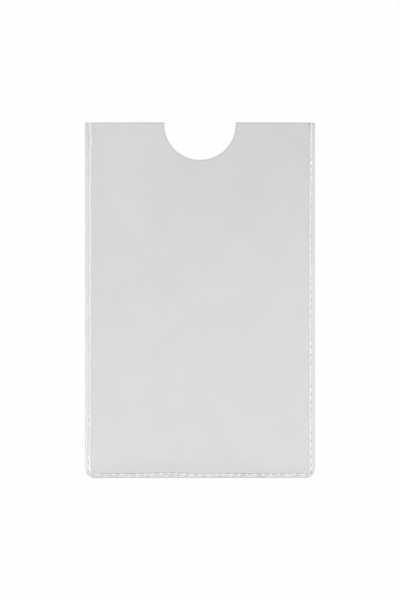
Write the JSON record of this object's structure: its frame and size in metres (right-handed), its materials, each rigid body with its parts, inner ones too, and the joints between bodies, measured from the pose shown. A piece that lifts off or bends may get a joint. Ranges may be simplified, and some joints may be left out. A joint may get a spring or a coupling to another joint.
{
  "type": "plastic sleeve",
  "caption": "Clear plastic card sleeve: two films welded along both sides and the bottom with a stitch-like imprint, open at the mouth, with a thumb notch through both films.",
  "frame": {"origin": "middle of the sleeve's footprint, on the plane that its back film lies on", "axes": "+Y along the sleeve towards its open mouth, +X across it to the right as seen from the front, +Z out of the front film"},
  "size_m": [0.06, 0.093, 0.0013],
  "materials": {
    "clear_film": "clear film, smooth and glossy with a faint haze",
    "welded_edge": "clear fused film, embossed"
  },
  "bodies": {
    "back": {"back_film": "clear_film", "left_weld": "welded_edge", "right_weld": "welded_edge", "bottom_weld": "welded_edge", "left_corner_weld": "welded_edge", "right_corner_weld": "welded_edge"},
    "front": {"front_film": "clear_film"}
  },
  "joints": [
    {"name": "mouth_flex", "type": "hinge", "parent": "back", "child": "front", "pos_m": [0, -0.0448, 0.00035], "axis": [1, 0, 0], "range_deg": [0, 3], "stiffness_Nm_per_rad": 0.3}
  ]
}
